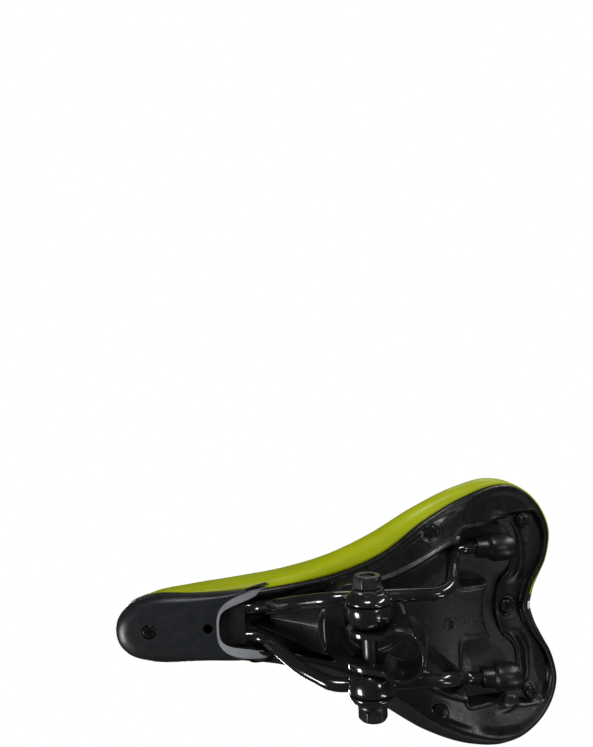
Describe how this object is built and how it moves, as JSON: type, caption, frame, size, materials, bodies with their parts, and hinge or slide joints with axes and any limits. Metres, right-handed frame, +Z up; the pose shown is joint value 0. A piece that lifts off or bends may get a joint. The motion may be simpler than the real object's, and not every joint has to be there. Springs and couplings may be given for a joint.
{
  "type": "bicycle saddle",
  "caption": "Padded bicycle saddle with a two-colour cover, moulded base, steel rails and a cheek clamp for a plain seatpost.",
  "frame": {"origin": "centre of the bore of the seatpost collar", "axes": "+X towards the nose of the saddle, +Y to the rider's left, +Z up with the rails level"},
  "size_m": [0.2516, 0.1504, 0.1013],
  "materials": {
    "lime_leather": "satin",
    "black_leather": "satin",
    "band_leather": "satin",
    "white_leather": "satin",
    "foam": "matte",
    "board_plastic": "matte",
    "base_plastic": "matte",
    "satin_plastic": "satin",
    "painted_steel": "gloss",
    "bolt_steel": "satin",
    "screw_steel": "satin"
  },
  "bodies": {
    "collar": {"seatpost_collar": "painted_steel"},
    "clamp_head": {"clamp_bolt": "bolt_steel", "inner_cheek_left": "painted_steel", "inner_cheek_right": "painted_steel", "outer_cheek_left": "painted_steel", "outer_cheek_right": "painted_steel"},
    "saddle": {"cover_colour_panel": "lime_leather", "cover_dark_band": "band_leather", "cover_white_stripe": "white_leather", "cover_black_panel": "black_leather", "foam_pad": "foam", "top_board": "board_plastic", "base_shell": "base_plastic", "nose_cover": "satin_plastic", "nose_anchor": "board_plastic", "base_screws": "screw_steel", "nose_screw": "screw_steel", "rail_left": "painted_steel", "rail_right": "painted_steel"},
    "left_washer": {"washer_left": "bolt_steel"},
    "left_nut": {"nut_left": "bolt_steel"},
    "right_washer": {"washer_right": "bolt_steel"},
    "right_nut": {"nut_right": "bolt_steel"}
  },
  "joints": [
    {"name": "saddle_tilt", "type": "hinge", "parent": "collar", "child": "clamp_head", "pos_m": [0.01507, 0, 0.00404], "axis": [0, 1, 0], "range_deg": [-15, 15]},
    {"name": "saddle_slide", "type": "slide", "parent": "clamp_head", "child": "saddle", "axis": [1, 0, 0], "range_m": [0, 0.02]},
    {"name": "left_washer_travel", "type": "slide", "parent": "clamp_head", "child": "left_washer", "axis": [0, 1, 0], "range_m": [0, 0.0025]},
    {"name": "left_nut_turn", "type": "hinge", "parent": "left_washer", "child": "left_nut", "pos_m": [0.01507, 0, 0.00404], "axis": [0, 1, 0], "range_deg": [0, 720]},
    {"name": "right_washer_travel", "type": "slide", "parent": "clamp_head", "child": "right_washer", "axis": [0, -1, 0], "range_m": [0, 0.0025]},
    {"name": "right_nut_turn", "type": "hinge", "parent": "right_washer", "child": "right_nut", "pos_m": [0.01507, 0, 0.00404], "axis": [0, -1, 0], "range_deg": [0, 720]}
  ],
  "couplings": [
    {"joint": "left_nut_turn", "follows": "left_washer_travel", "rad_per_m": 5026.5},
    {"joint": "right_nut_turn", "follows": "right_washer_travel", "rad_per_m": 5026.5}
  ]
}
